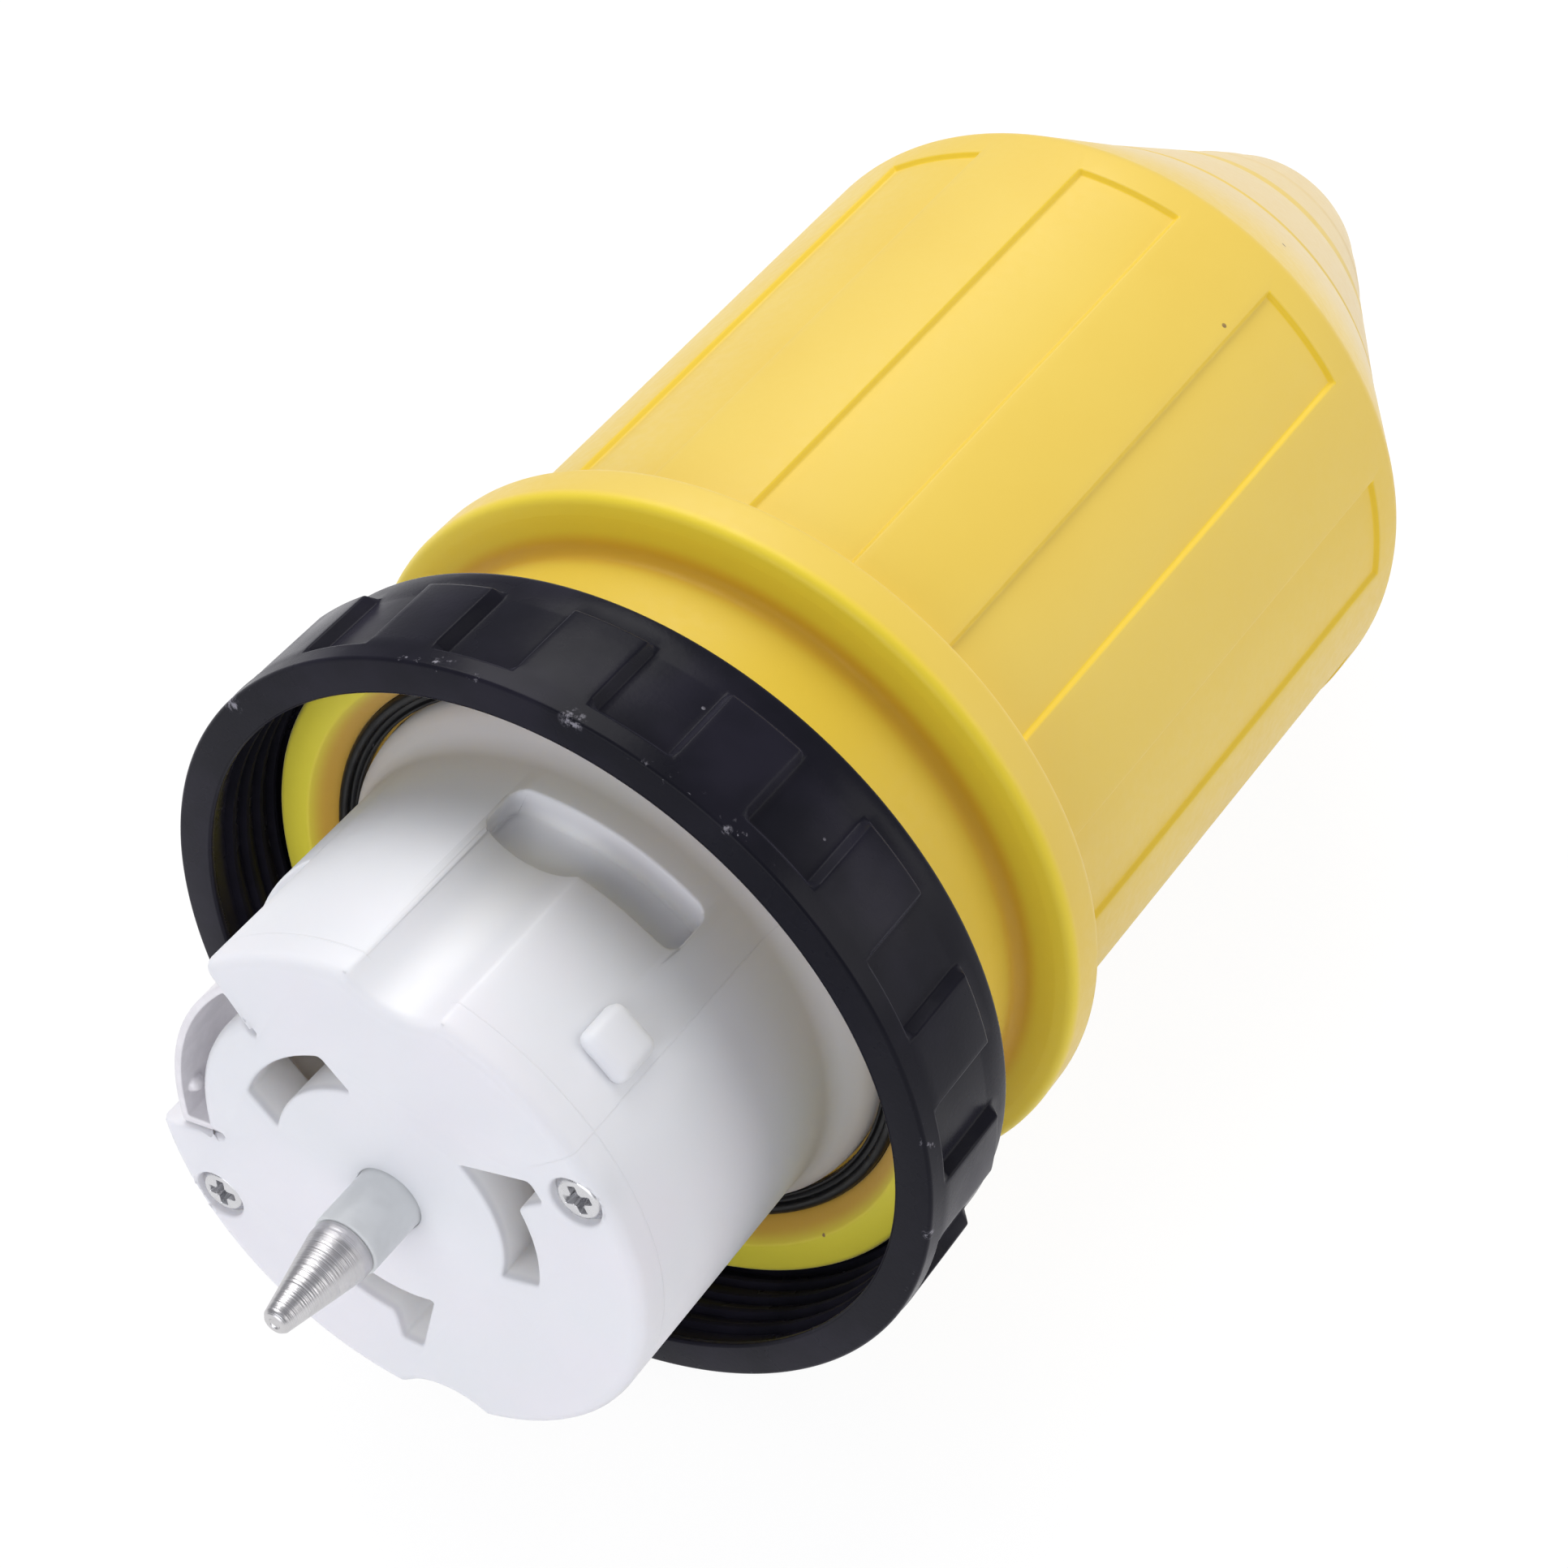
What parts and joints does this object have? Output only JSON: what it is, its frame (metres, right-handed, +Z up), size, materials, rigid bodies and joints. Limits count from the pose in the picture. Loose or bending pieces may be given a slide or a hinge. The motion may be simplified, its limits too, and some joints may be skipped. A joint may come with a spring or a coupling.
{
  "type": "locking power connector",
  "caption": "Twist-lock power connector: round slotted nose with pilot pin, threaded coupling ring that turns on the neck, and a panelled weatherproof boot with a coned cable end.",
  "frame": {"origin": "centre of the nose's flat mating face, on the connector's axis", "axes": "-Y out of the mating face along the pilot pin, +Y to the cable end, +Z up as the connector lies on its side"},
  "size_m": [0.0862, 0.1962, 0.0862],
  "materials": {
    "boot": "matte moulded",
    "ring": "satin moulded",
    "nylon": "satin moulded",
    "gasket": "matte",
    "nickel": "turned, nickel plated",
    "sleeve": "frosted",
    "brass": "plain",
    "steel": "plated"
  },
  "bodies": {
    "connector": {"boot": "boot", "gasket": "gasket", "nose": "nylon", "rear_housing": "nylon", "pilot_pin": "nickel", "pin_sleeve": "sleeve", "ground_strip": "steel", "ground_terminal": "steel", "ground_screw": "steel", "contact_a": "brass", "contact_b": "brass", "contact_c": "brass", "pressure_plate_a": "steel", "pressure_plate_b": "steel", "pressure_plate_c": "steel", "terminal_screw_a": "steel", "terminal_screw_b": "steel", "terminal_screw_c": "steel", "face_screw_right": "steel", "face_screw_left": "steel", "clamp_upper": "nylon", "clamp_lower": "nylon", "clamp_screw_right": "steel", "clamp_screw_left": "steel"},
    "ring": {"coupling_ring": "ring"}
  },
  "joints": [
    {"name": "ring_turn", "type": "hinge", "parent": "connector", "child": "ring", "pos_m": [0, 0.0323, 0], "axis": [0, 1, 0], "continuous": true}
  ]
}
